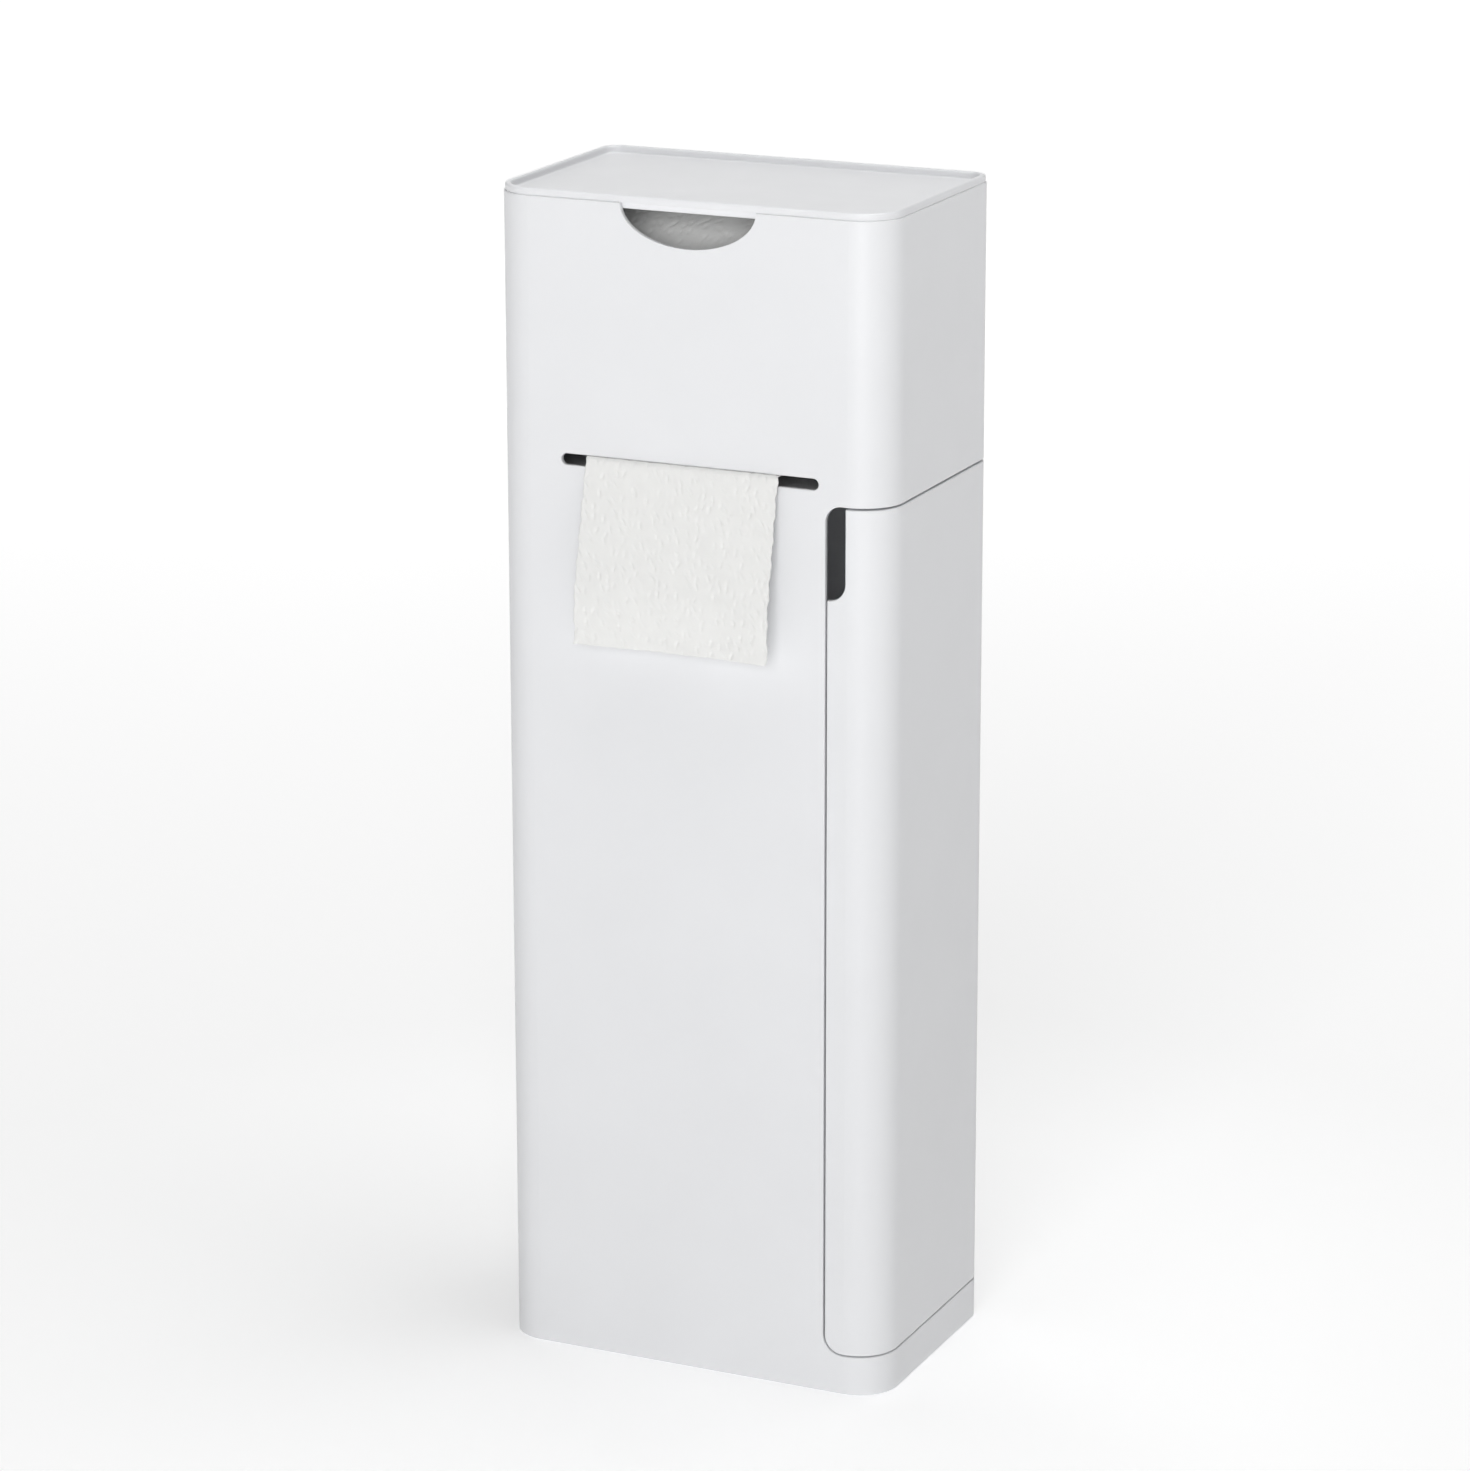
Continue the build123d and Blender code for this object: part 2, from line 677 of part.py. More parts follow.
with BuildPart() as roll_spindle:
    with BuildSketch(axle_right):
        Circle(core_radius - core_wall - barrel_play)
    extrude(amount=roll_width / 2, both=True)
    with BuildSketch(axle_right):
        Circle(spindle_pin)
    extrude(amount=cradle_outer + spindle_end_play + spindle_cap_length, both=True)
    for axle in (axle_left, axle_right):
        with BuildSketch(axle.offset(cradle_outer + spindle_end_play)):
            Circle(spindle_cap)
        extrude(amount=spindle_cap_length)
    cap_faces = roll_spindle.faces().sort_by(Axis.X)
    fillet(cap_faces[0].edges() + cap_faces[-1].edges(), spindle_cap_round)
roll_spindle.part.label = "roll_spindle"
export_step(roll_spindle.part, "parts/roll_spindle.step")


def make_cradle(side):
    """An upright with an open-topped seat for the spindle, on a foot screwed to the shelf."""
    inner = Plane(origin=(roll_x + side * cradle_inner, 0, 0), x_dir=(0, side, 0), z_dir=(side, 0, 0))
    with BuildPart() as cradle:
        with BuildSketch(inner) as upright:
            with BuildLine():
                Polyline((-cradle_width / 2, shelf_top), (cradle_width / 2, shelf_top),
                         (cradle_top_width / 2, roll_z + cradle_rise),
                         (-cradle_top_width / 2, roll_z + cradle_rise), close=True)
            make_face()
            fillet(upright.vertices().group_by(Axis.Y)[-1], cradle_round)
            with Locations((0, roll_z)):
                Circle(spindle_pin + spindle_play, mode=Mode.SUBTRACT)
                Rectangle(2 * (spindle_pin + spindle_play), height, align=(Align.CENTER, Align.MIN),
                          mode=Mode.SUBTRACT)
        extrude(amount=cradle_wall)
        with BuildSketch(Plane.XY.offset(shelf_top)):
            with Locations((roll_x + side * cradle_inner, 0)):
                Rectangle(cradle_foot + cradle_wall, cradle_width,
                          align=(Align.MIN if side > 0 else Align.MAX, Align.CENTER))
        extrude(amount=cradle_wall)
        drill_seats(cradle_places, cradle_wall)
    return cradle


cradle_left = make_cradle(-1)
cradle_left.part.label = "spindle_cradle_left"
export_step(cradle_left.part, "parts/spindle_cradle_left.step")

cradle_right = make_cradle(1)
cradle_right.part.label = "spindle_cradle_right"
export_step(cradle_right.part, "parts/spindle_cradle_right.step")

# Paper from the underside of the roll, out through the slot and down the front
with BuildPart() as paper_tail:
    with BuildSketch(Plane.YZ.offset(roll_x)):
        with BuildLine():
            FilletPolyline((0, roll_bottom - paper_gap - paper_thickness / 2),
                           (-half_depth - tail_lip, slot_z + tail_rise),
                           (-half_depth - tail_bow, slot_z - tail_bow_drop),
                           (-half_depth - tail_end, slot_z - tail_drop),
                           radius=[tail_lip_round, tail_bow_round])
            offset(amount=paper_thickness / 2)
        make_face()
    extrude(amount=roll_width / 2 + tail_margin, both=True)
paper_tail.part.label = "paper_tail"
export_step(paper_tail.part, "parts/paper_tail.step")

# Bracket on the door that the brush cup stands in
with BuildPart() as cup_bracket:
    with Locations((bracket_face, cup_y, bracket_bottom)):
        Box(bracket_plate, bracket_width, bracket_height, align=(Align.MIN, Align.CENTER, Align.MIN))
    top_edges = cup_bracket.edges().filter_by(Axis.X).group_by(Axis.Z)[-1]
    fillet(top_edges, bracket_round)
    lip_inner = cup_foot + cup_taper * bracket_lip / cup_height + cup_play
    with BuildSketch(Plane.XY.offset(bracket_bottom)):
        with Locations((cup_x, cup_y)):
            Circle(lip_inner + bracket_lip_wall)
            Rectangle(bracket_face - cup_x + bracket_plate, bracket_width,
                      align=(Align.MIN, Align.CENTER))
    extrude(amount=bracket_floor)
    with BuildSketch(Plane.XY.offset(cup_bottom)):
        with Locations((cup_x, cup_y)):
            Circle(lip_inner + bracket_lip_wall)
            Circle(lip_inner, mode=Mode.SUBTRACT)
    extrude(amount=bracket_lip)
    drill_seats(bracket_places, bracket_plate)
cup_bracket.part.label = "cup_bracket"
export_step(cup_bracket.part, "parts/cup_bracket.step")

# Brush cup
with BuildPart() as brush_cup:
    with BuildSketch(section_at(cup_x, cup_y)) as wall_section:
        with BuildLine():
            Polyline((0, cup_bottom), (cup_foot, cup_bottom), (cup_radius, cup_top),
                     (cup_radius - cup_wall, cup_top), (cup_foot - cup_wall, cup_bottom + cup_floor),
                     (0, cup_bottom + cup_floor), close=True)
        make_face()
        outer_foot = wall_section.vertices().group_by(Axis.Y)[0].sort_by(Axis.X)[-1]
        fillet(outer_foot, cup_round)
    revolve(axis=upright_axis(cup_x, cup_y))
brush_cup.part.label = "brush_cup"
export_step(brush_cup.part, "parts/brush_cup.step")

# Brush: head, bristles, rod, grip, and the collar that closes the cup and carries the brush
with BuildPart() as brush_head:
    with BuildSketch(section_at(cup_x, cup_y)) as head_section:
        with BuildLine():
            Polyline((0, brush_bottom + bristle_tip), (head_radius, brush_bottom + bristle_tip),
                     (head_radius, head_top), (rod_radius + rod_play, head_top),
                     (rod_radius + rod_play, rod_bottom), (0, rod_bottom), close=True)
        make_face()
        fillet(head_section.vertices().group_by(Axis.Y)[0].sort_by(Axis.X)[-1], head_round)
    revolve(axis=upright_axis(cup_x, cup_y))
brush_head.part.label = "brush_head"
export_step(brush_head.part, "parts/brush_head.step")

with BuildPart() as brush_bristles:
    with BuildSketch(section_at(cup_x, cup_y)) as bristle_section:
        with BuildLine():
            Polyline((0, brush_bottom), (bristle_radius, brush_bottom),
                     (bristle_radius, brush_bottom + bristle_length),
                     (0, brush_bottom + bristle_length), close=True)
        make_face()
        fillet(bristle_section.vertices().group_by(Axis.X)[-1], bristle_round)
    revolve(axis=upright_axis(cup_x, cup_y))
    add(brush_head.part, mode=Mode.SUBTRACT)
    with Locations((cup_x, cup_y, rod_bottom)):
        Cylinder(rod_radius + rod_play, rod_socket, align=stand_up, mode=Mode.SUBTRACT)
brush_bristles.part.label = "brush_bristles"
export_step(brush_bristles.part, "parts/brush_bristles.step")

with BuildPart() as brush_rod:
    with Locations((cup_x, cup_y, rod_bottom)):
        Cylinder(rod_radius, grip_bottom + rod_socket - rod_bottom, align=stand_up)
brush_rod.part.label = "brush_rod"
export_step(brush_rod.part, "parts/brush_rod.step")

with BuildPart() as brush_grip:
    with BuildSketch(section_at(cup_x, cup_y)):
        with BuildLine():
            Line((0, brush_top), (0, grip_bottom + rod_socket))
            Polyline((0, grip_bottom + rod_socket), (rod_radius + rod_play, grip_bottom + rod_socket),
                     (rod_radius + rod_play, grip_bottom), (grip_waist, grip_bottom),
                     (grip_radius, brush_top - grip_radius))
            RadiusArc((grip_radius, brush_top - grip_radius), (0, brush_top), -grip_radius)
        make_face()
    revolve(axis=upright_axis(cup_x, cup_y))
brush_grip.part.label = "brush_grip"
export_step(brush_grip.part, "parts/brush_grip.step")

with BuildPart() as splash_collar:
    with BuildSketch(section_at(cup_x, cup_y)):
        with BuildLine():
            Polyline((rod_radius + rod_play, cup_top + collar_rise),
                     (collar_hub, cup_top + collar_rise),
                     (cup_radius - cup_wall, cup_top), (cup_radius + collar_overhang, cup_top),
                     (cup_radius + collar_overhang, cup_top + collar_wall),
                     (cup_radius - cup_wall, cup_top + collar_wall),
                     (collar_hub, cup_top + collar_rise + collar_wall),
                     (collar_hub, cup_top + collar_hub_height),
                     (rod_radius + rod_play, cup_top + collar_hub_height), close=True)
        make_face()
    revolve(axis=upright_axis(cup_x, cup_y))
splash_collar.part.label = "splash_collar"
export_step(splash_collar.part, "parts/splash_collar.step")

# Fasteners, one group for each size and use
for name, places, length in (("base_screws", base_places, base_screw_length),
                             ("shelf_screws", shelf_places, shelf_screw_length),
                             ("back_screws", panel_places, panel_screw_length),
                             ("cradle_screws", cradle_places, cradle_screw_length),
                             ("strike_screws", strike_places, strike_screw_length),
                             ("bracket_screws", bracket_places, bracket_screw_length)):
    screws = make_screws(places, length)
    screws.part.label = name
    export_step(screws.part, f"parts/{name}.step")
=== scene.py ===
import json
import math

import bpy
import numpy as np
from mathutils import Matrix, Vector


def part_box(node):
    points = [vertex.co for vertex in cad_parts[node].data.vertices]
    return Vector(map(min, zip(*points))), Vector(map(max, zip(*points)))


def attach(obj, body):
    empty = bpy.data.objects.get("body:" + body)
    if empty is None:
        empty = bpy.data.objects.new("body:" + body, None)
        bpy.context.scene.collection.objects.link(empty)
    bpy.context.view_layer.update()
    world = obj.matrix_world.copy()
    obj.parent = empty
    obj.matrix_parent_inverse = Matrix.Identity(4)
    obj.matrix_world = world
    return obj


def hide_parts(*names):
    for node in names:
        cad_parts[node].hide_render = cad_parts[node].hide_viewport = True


# A freestanding toilet butler in white plastic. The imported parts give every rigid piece; this
# script adds the limp paper, the wound roll, the bristles, the materials, the light and the camera.
# Metres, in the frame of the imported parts: X to the right, Y to the rear, Z up.

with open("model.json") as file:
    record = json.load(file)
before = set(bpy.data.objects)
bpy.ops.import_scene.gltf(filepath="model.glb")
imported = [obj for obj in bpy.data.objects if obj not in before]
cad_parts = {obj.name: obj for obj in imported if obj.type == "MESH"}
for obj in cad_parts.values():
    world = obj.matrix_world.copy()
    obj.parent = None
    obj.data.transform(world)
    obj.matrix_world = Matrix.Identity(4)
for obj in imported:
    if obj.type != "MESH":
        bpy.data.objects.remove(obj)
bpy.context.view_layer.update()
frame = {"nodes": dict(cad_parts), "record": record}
RANDOM_SEED = 7
rng = np.random.default_rng(RANDOM_SEED)
MM = 0.001


# Node helpers

NOISE_LOW, NOISE_HIGH = 0.3, 0.7


class Shader:
    """A small wrapper round a material's nodes, so that each recipe below reads in a few lines."""

    def __init__(self, name):
        self.material = bpy.data.materials.new(name)
        self.material.use_nodes = True
        self.tree = self.material.node_tree
        self.bsdf = self.tree.nodes["Principled BSDF"]

    def node(self, kind, **inputs):
        """Adds a node and sets its inputs; an input that is a socket is linked."""
        made = self.tree.nodes.new("ShaderNode" + kind)
        for key, value in inputs.items():
            self.feed(made, key.replace("_", " "), value)
        return made

    def feed(self, target, key, value):
        """Sets or links one input of a node, by its name or its number."""
        socket = target.inputs[int(key) if key.isdigit() else key]
        if isinstance(value, bpy.types.NodeSocket):
            self.tree.links.new(value, socket)
        else:
            socket.default_value = value

    def surface(self, **inputs):
        """Sets inputs of the main shader."""
        for key, value in inputs.items():
            self.feed(self.bsdf, key.replace("_", " "), value)

    def object_place(self, stretch=(1, 1, 1)):
        """The point on the object in metres, stretched along its axes."""
        place = self.node("TexCoord")
        mapping = self.node("Mapping", Vector=place.outputs["Object"])
        mapping.inputs["Scale"].default_value = stretch
        return mapping.outputs["Vector"]

    def noise(self, scale, detail=3.0, stretch=(1, 1, 1), roughness=0.5):
        """Soft noise on the object, from 0 to 1; scale is in cycles a metre."""
        made = self.node("TexNoise", Vector=self.object_place(stretch), Scale=scale, Detail=detail)
        made.inputs["Roughness"].default_value = roughness
        return made.outputs["Fac"]

    def ramp(self, value, given, wanted):
        """Maps a given range of a value to a wanted one, and stops at its ends."""
        made = self.node("MapRange", Value=value)
        for key, number in zip(("From Min", "From Max", "To Min", "To Max"), (*given, *wanted)):
            made.inputs[key].default_value = number
        return made.outputs["Result"]

    def spread(self, value, low, high):
        """Maps the middle of a noise to a range."""
        return self.ramp(value, (NOISE_LOW, NOISE_HIGH), (low, high))

    def tint(self, value, dark, light):
        """A colour between two, by the middle of a noise."""
        made = self.tree.nodes.new("ShaderNodeValToRGB")
        ends = made.color_ramp.elements
        for end, colour, position in zip(ends, (dark, light), (NOISE_LOW, NOISE_HIGH)):
            end.color = (*colour, 1)
            end.position = position
        self.feed(made, "Fac", value)
        return made.outputs["Color"]

    def bump(self, height, distance, under=None):
        """A bump from a height; under is the normal of another bump below it."""
        made = self.node("Bump", Height=height, Distance=distance, Strength=1.0)
        if under is not None:
            self.feed(made, "Normal", under)
        return made.outputs["Normal"]


def shade(colour, share):
    """A colour made lighter or darker by a share of itself."""
    return tuple(min(1.0, part * share) for part in colour)


def moulded_plastic(name, colour, roughness, coat=0.0, glow=0.0):
    """Injection-moulded plastic: a faint orange peel, fine grain and hardly any change of colour.
    glow is the share of light that goes in and out again through its thin walls."""
    made = Shader(name)
    cloud = made.noise(scale=14, detail=4)
    made.surface(Base_Color=made.tint(cloud, shade(colour, 0.985), shade(colour, 1.01)),
                 Roughness=made.spread(made.noise(scale=60, detail=5), roughness - 0.03,
                                       roughness + 0.03),
                 Specular_IOR_Level=0.5, Coat_Weight=coat, Coat_Roughness=0.12,
                 Subsurface_Weight=glow, Subsurface_Radius=(1, 1, 1), Subsurface_Scale=3 * MM)
    peel = made.bump(made.noise(scale=230, detail=2), distance=0.01 * MM)
    grain = made.noise(scale=2600, detail=3)
    made.surface(Normal=made.bump(grain, distance=0.02 * MM, under=peel))
    return made.material


def plain_steel(name, colour, roughness, brush=(1, 1, 40)):
    """Steel with fine drawn lines; brush says how much finer they are along each axis."""
    made = Shader(name)
    lines = made.noise(scale=300, detail=4, stretch=brush)
    made.surface(Base_Color=made.tint(lines, shade(colour, 0.93), shade(colour, 1.05)),
                 Metallic=1.0, Roughness=made.spread(lines, roughness - 0.06, roughness + 0.08),
                 Normal=made.bump(lines, distance=0.008 * MM))
    return made.material


def moulded_rubber(name, colour):
    """Matte rubber with a fine stipple."""
    made = Shader(name)
    cloud = made.noise(scale=90, detail=4)
    stipple = made.noise(scale=1800, detail=3)
    made.surface(Base_Color=made.tint(cloud, shade(colour, 0.85), shade(colour, 1.15)),
                 Roughness=0.85, Specular_IOR_Level=0.3,
                 Normal=made.bump(stipple, distance=0.06 * MM))
    return made.material


def sintered_ferrite(name, colour):
    """Dark pressed ferrite, a little rough."""
    made = Shader(name)
    grain = made.noise(scale=500, detail=5)
    pits = made.noise(scale=1500, detail=4)
    made.surface(Base_Color=made.tint(grain, shade(colour, 0.8), shade(colour, 1.3)),
                 Metallic=0.3, Roughness=0.6, Normal=made.bump(pits, distance=0.03 * MM))
    return made.material


def grey_card(name, colour):
    """Recycled card with fibres and flecks that run round the tube."""
    made = Shader(name)
    fibres = made.noise(scale=700, detail=6, stretch=(1, 0.25, 0.25), roughness=0.7)
    made.surface(Base_Color=made.tint(fibres, shade(colour, 0.84), shade(colour, 1.12)),
                 Roughness=0.92, Specular_IOR_Level=0.2,
                 Normal=made.bump(fibres, distance=0.05 * MM))
    return made.material


def soft_paper(name, colour):
    """Tissue: matte, with a soft sheen, crepe lines and loose fibres."""
    made = Shader(name)
    cloud = made.noise(scale=160, detail=5)
    crepe = made.noise(scale=900, detail=5, stretch=(0.3, 1, 1), roughness=0.6)
    fibres = made.noise(scale=2600, detail=5, stretch=(1, 0.5, 0.5), roughness=0.7)
    loose = made.bump(fibres, distance=0.05 * MM)
    made.surface(Base_Color=made.tint(cloud, shade(colour, 0.985), shade(colour, 1.015)),
                 Roughness=0.95, Specular_IOR_Level=0.15, Sheen_Weight=0.15, Sheen_Roughness=0.6,
                 Normal=made.bump(crepe, distance=0.09 * MM, under=loose))
    return made.material


def nylon_bristle(name, colour):
    """White nylon strands, glossy and slightly translucent."""
    made = Shader(name)
    cloud = made.noise(scale=400, detail=3)
    grain = made.noise(scale=3000, detail=2)
    made.surface(Base_Color=made.tint(cloud, shade(colour, 0.93), shade(colour, 1.03)),
                 Roughness=0.38, Subsurface_Weight=0.15, Subsurface_Scale=2 * MM,
                 Normal=made.bump(grain, distance=0.01 * MM))
    return made.material


WHITE = (0.80, 0.806, 0.822)
materials = {
    "white_shell": moulded_plastic("white_shell", WHITE, roughness=0.34, glow=0.25),
    "white_inner": moulded_plastic("white_inner", shade(WHITE, 0.97), roughness=0.45, glow=0.25),
    "white_brush": moulded_plastic("white_brush", shade(WHITE, 1.02), roughness=0.24, coat=0.3),
    "bristle": nylon_bristle("bristle", (0.80, 0.81, 0.83)),
    "bush_plastic": moulded_plastic("bush_plastic", (0.27, 0.28, 0.29), roughness=0.5),
    "steel": plain_steel("steel", (0.56, 0.56, 0.57), roughness=0.30),
    "screw_steel": plain_steel("screw_steel", (0.60, 0.60, 0.61), roughness=0.36, brush=(1, 1, 1)),
    "magnet": sintered_ferrite("magnet", (0.030, 0.030, 0.033)),
    "mat_rubber": moulded_rubber("mat_rubber", (0.022, 0.022, 0.023)),
    "paper": soft_paper("paper", (0.81, 0.81, 0.797)),
    "core_card": grey_card("core_card", (0.36, 0.28, 0.19)),
}

slot_of = {row["node"]: row["material_slot"] for row in frame["record"]["subparts"]}
for node, obj in frame["nodes"].items():
    obj.data.materials.clear()
    obj.data.materials.append(materials[slot_of[node]])


# Mesh helpers

def add_mesh(name, verts, faces, slot_name, body):
    """A new smooth piece in the row frame that rides on a body and takes a slot's material."""
    mesh = bpy.data.meshes.new(name)
    mesh.from_pydata([tuple(v) for v in verts], [], [tuple(f) for f in faces])
    mesh.update()
    mesh.polygons.foreach_set("use_smooth", [True] * len(mesh.polygons))
    mesh.materials.append(materials[slot_name])
    obj = bpy.data.objects.new(name, mesh)
    bpy.context.scene.collection.objects.link(obj)
    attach(obj, body)
    return obj


def grid_faces(rows, columns, wrap=False, start=0):
    """Quads between the rows and columns of a grid of points."""
    faces = []
    for i in range(rows - 1):
        for j in range(columns if wrap else columns - 1):
            k = (j + 1) % columns
            faces.append((start + i * columns + j, start + i * columns + k,
                          start + (i + 1) * columns + k, start + (i + 1) * columns + j))
    return faces


def share_of(value, start, end):
    """How far a value is from start to end, kept between 0 and 1."""
    return np.clip((value - start) / (end - start), 0, 1)


# Embossing that the roll and the hanging sheet share: short leaning dents, loosely scattered

EMBOSS_PITCH = (3.9 * MM, 5.4 * MM)
EMBOSS_SIZE = (0.8 * MM, 1.7 * MM)
EMBOSS_LEAN = (-0.35, 0.75)
EMBOSS_DEPTH = (0.15, 1.0)
EMBOSS_MARGIN = 0.1


def scatter(column, line, seed):
    """A share from 0 to 1 that looks random, the same for the same cell of the pattern."""
    return np.mod(np.sin(column * 12.9898 + line * 78.233 + seed * 37.719) * 43758.5453, 1)


def embossing(across, along):
    """Height of the paper's quilting at a point of the flat sheet, from 0 in a dent to 1."""
    pitch_x, pitch_y = EMBOSS_PITCH
    play = 1 - 2 * EMBOSS_MARGIN
    height = np.ones_like(across)
    for side in (-1, 0, 1):
        for shift in (-1, 0, 1):
            column = np.floor(across / pitch_x) + side
            line = np.floor(along / pitch_y) + shift
            dx = across - (column + EMBOSS_MARGIN + play * scatter(column, line, 1)) * pitch_x
            dy = along - (line + EMBOSS_MARGIN + play * scatter(column, line, 2)) * pitch_y
            lean = EMBOSS_LEAN[0] + (EMBOSS_LEAN[1] - EMBOSS_LEAN[0]) * scatter(column, line, 3)
            depth = EMBOSS_DEPTH[0] + (EMBOSS_DEPTH[1] - EMBOSS_DEPTH[0]) * scatter(column, line, 4)
            reach = ((dx - lean * dy) / EMBOSS_SIZE[0]) ** 2 + (dy / EMBOSS_SIZE[1]) ** 2
            height -= depth * np.exp(-reach)
    return height


# Paper roll in use: embossed outside, wound edges at both ends

roll_low, roll_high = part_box("paper_roll")
core_low, core_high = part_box("roll_core")
roll_centre = (roll_low + roll_high) / 2
roll_half = (roll_high.x - roll_low.x) / 2
roll_radius = (roll_high.z - roll_low.z) / 2
CORE_GAP = 0.1 * MM
bore_radius = (core_high.z - core_low.z) / 2 + CORE_GAP
ROLL_STEPS = 560
RIM_COLUMNS = 130
ROLL_DENT = 0.7 * MM
RIM_DEPTH = 0.5 * MM
RIM_START = 1.4 * MM
RIM_EDGE = 0.8 * MM
EDGE_POINTS = ((0.1 * MM, RIM_EDGE), (0.7 * MM, 0.1 * MM))
LAYER_PITCH = 0.55 * MM
LAYER_STAND = (0.05 * MM, 0.33 * MM)
END_DEPTH = 1.0 * MM
END_WOBBLE = 0.10 * MM
WOBBLE_LOBES, WOBBLE_TWIST = 3, 900.0
ROLL_SETTLE = 0.25 * MM
SETTLE_LOBES, SETTLE_START, SETTLE_POWER = 2, 0.7, 4


def roll_profile():
    """Points (x, radius) from the bore over the left end, the rim and the right end."""
    wound = roll_radius - RIM_EDGE - bore_radius
    layers = int(wound / LAYER_PITCH)
    end = [(roll_half, bore_radius)]
    end += [(roll_half - LAYER_STAND[i % 2], bore_radius + wound * i / layers) for i in range(1, layers)]
    end += [(roll_half - inward, roll_radius - down) for inward, down in EDGE_POINTS]
    rim_end = roll_half - RIM_START
    rim = [(x, roll_radius) for x in np.linspace(-rim_end, rim_end, RIM_COLUMNS)]
    return [(-x, radius) for x, radius in end] + rim + end[::-1]


def make_roll():
    """A ring of wound paper: quilted rim, ends whose layers stand a little in or out."""
    angles = np.linspace(0, 2 * math.pi, ROLL_STEPS, endpoint=False)
    profile = roll_profile()
    xs = np.array([p[0] for p in profile])[:, None] * np.ones(ROLL_STEPS)
    rs = np.array([p[1] for p in profile])[:, None] * np.ones(ROLL_STEPS)
    at_end = np.abs(xs) > roll_half - END_DEPTH
    on_rim = rs > roll_radius - RIM_DEPTH
    wobble = END_WOBBLE * np.abs(np.sin(WOBBLE_LOBES * angles + WOBBLE_TWIST * rs)) * at_end
    dent = ROLL_DENT * (1 - embossing(xs, rs * angles)) * on_rim
    settle = ROLL_SETTLE * (1 + np.sin(SETTLE_LOBES * angles + SETTLE_START))
    rs = rs - dent - settle * (rs / roll_radius) ** SETTLE_POWER
    xs = xs - np.sign(xs) * wobble
    verts = np.stack([roll_centre.x + xs, roll_centre.y + rs * np.sin(angles),
                      roll_centre.z + rs * np.cos(angles)], -1).reshape(-1, 3)
    faces = grid_faces(len(profile), ROLL_STEPS, wrap=True)
    last = (len(profile) - 1) * ROLL_STEPS
    for j in range(ROLL_STEPS):
        k = (j + 1) % ROLL_STEPS
        faces.append((last + j, last + k, k, j))
    obj = add_mesh("wound_roll", verts, faces, "paper", "roll")
    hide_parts("paper_roll")
    return obj


make_roll()

# Hanging sheet: from the underside of the roll, out of the slot and down the front

tail_low, tail_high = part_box("paper_tail")
front_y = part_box("front_shell")[0].y
SHEET_THICKNESS = 0.5 * MM
SHEET_COLUMNS = 253
SHEET_STEP = 0.4 * MM
SHEET_DENT = 0.6 * MM
SLOT_MIDDLE = 455.75 * MM
TAIL_POINTS = ((0.0, SLOT_MIDDLE), (front_y - 2.0 * MM, SLOT_MIDDLE + 2.5 * MM),
               (front_y - 14.8 * MM, SLOT_MIDDLE - 62.0 * MM),
               (front_y - 13.2 * MM, tail_low.z + 3.2 * MM))
TAIL_RADII = (2.4 * MM, 60.0 * MM)
NARROW_AT_SLOT = 0.975
SLOT_SHIFT, END_SHIFT = 0.55 * MM, -0.2 * MM
INSIDE_START, INSIDE_END = front_y + 1.0 * MM, front_y + 5.0 * MM

# Height, radians across and along the sheet, and start of each wave
SHEET_WAVES = ((0.5 * MM, 3.1, 5.0, 0.0), (0.25 * MM, 9.0, -7.0, 1.0))
WAVES_FROM = 0.5
CURL_FROM = 0.80
CURL_RIGHT, CURL_RIGHT_FROM = 1.4 * MM, 0.55
CURL_LEFT, CURL_LEFT_FROM = 0.9 * MM, 0.62

# Height, length of a radian, and start of each ripple along the sides and the torn end
SIDE_RIPPLES = ((0.28 * MM, 2.1 * MM, 0.0), (0.20 * MM, 0.9 * MM, 2.0))
END_RIPPLES = ((0.12 * MM, 1.3 * MM, 0.0), (0.08 * MM, 0.47 * MM, 1.0))
SIDE_POWER = 8
TORN_FROM = 0.97
SHEET_LEAN = 0.3 * MM


def rounded_line(points, radii, step):
    """Points every step along a line whose inner corners are rounded, and the line's length."""
    line = [np.array(points[0], float)]
    for before, corner, after, radius in zip(points, points[1:], points[2:], radii):
        before, corner, after = (np.array(p, float) for p in (before, corner, after))
        into = (before - corner) / np.linalg.norm(before - corner)
        out = (after - corner) / np.linalg.norm(after - corner)
        half_angle = math.acos(float(np.clip(into @ out, -1, 1))) / 2
        reach = radius / math.tan(half_angle)
        bisector = (into + out) / np.linalg.norm(into + out)
        centre = corner + bisector * radius / math.sin(half_angle)
        start, end = corner + into * reach, corner + out * reach
        a0 = math.atan2(*(start - centre)[::-1])
        a1 = math.atan2(*(end - centre)[::-1])
        sweep = (a1 - a0 + math.pi) % (2 * math.pi) - math.pi
        count = max(8, int(abs(sweep) * radius / step))
        line += [centre + radius * np.array((math.cos(a0 + sweep * t), math.sin(a0 + sweep * t)))
                 for t in np.linspace(0, 1, count)]
    line.append(np.array(points[-1], float))
    line = np.array(line)
    lengths = np.concatenate([[0], np.cumsum(np.linalg.norm(np.diff(line, axis=0), axis=1))])
    wanted = np.linspace(0, lengths[-1], int(lengths[-1] / step) + 1)
    return np.stack([np.interp(wanted, lengths, line[:, i]) for i in (0, 1)], -1), lengths[-1]


def rippled(places, ripples):
    """The sum of a few sine ripples at places along an edge."""
    return sum(height * np.sin(places / length + start) for height, length, start in ripples)


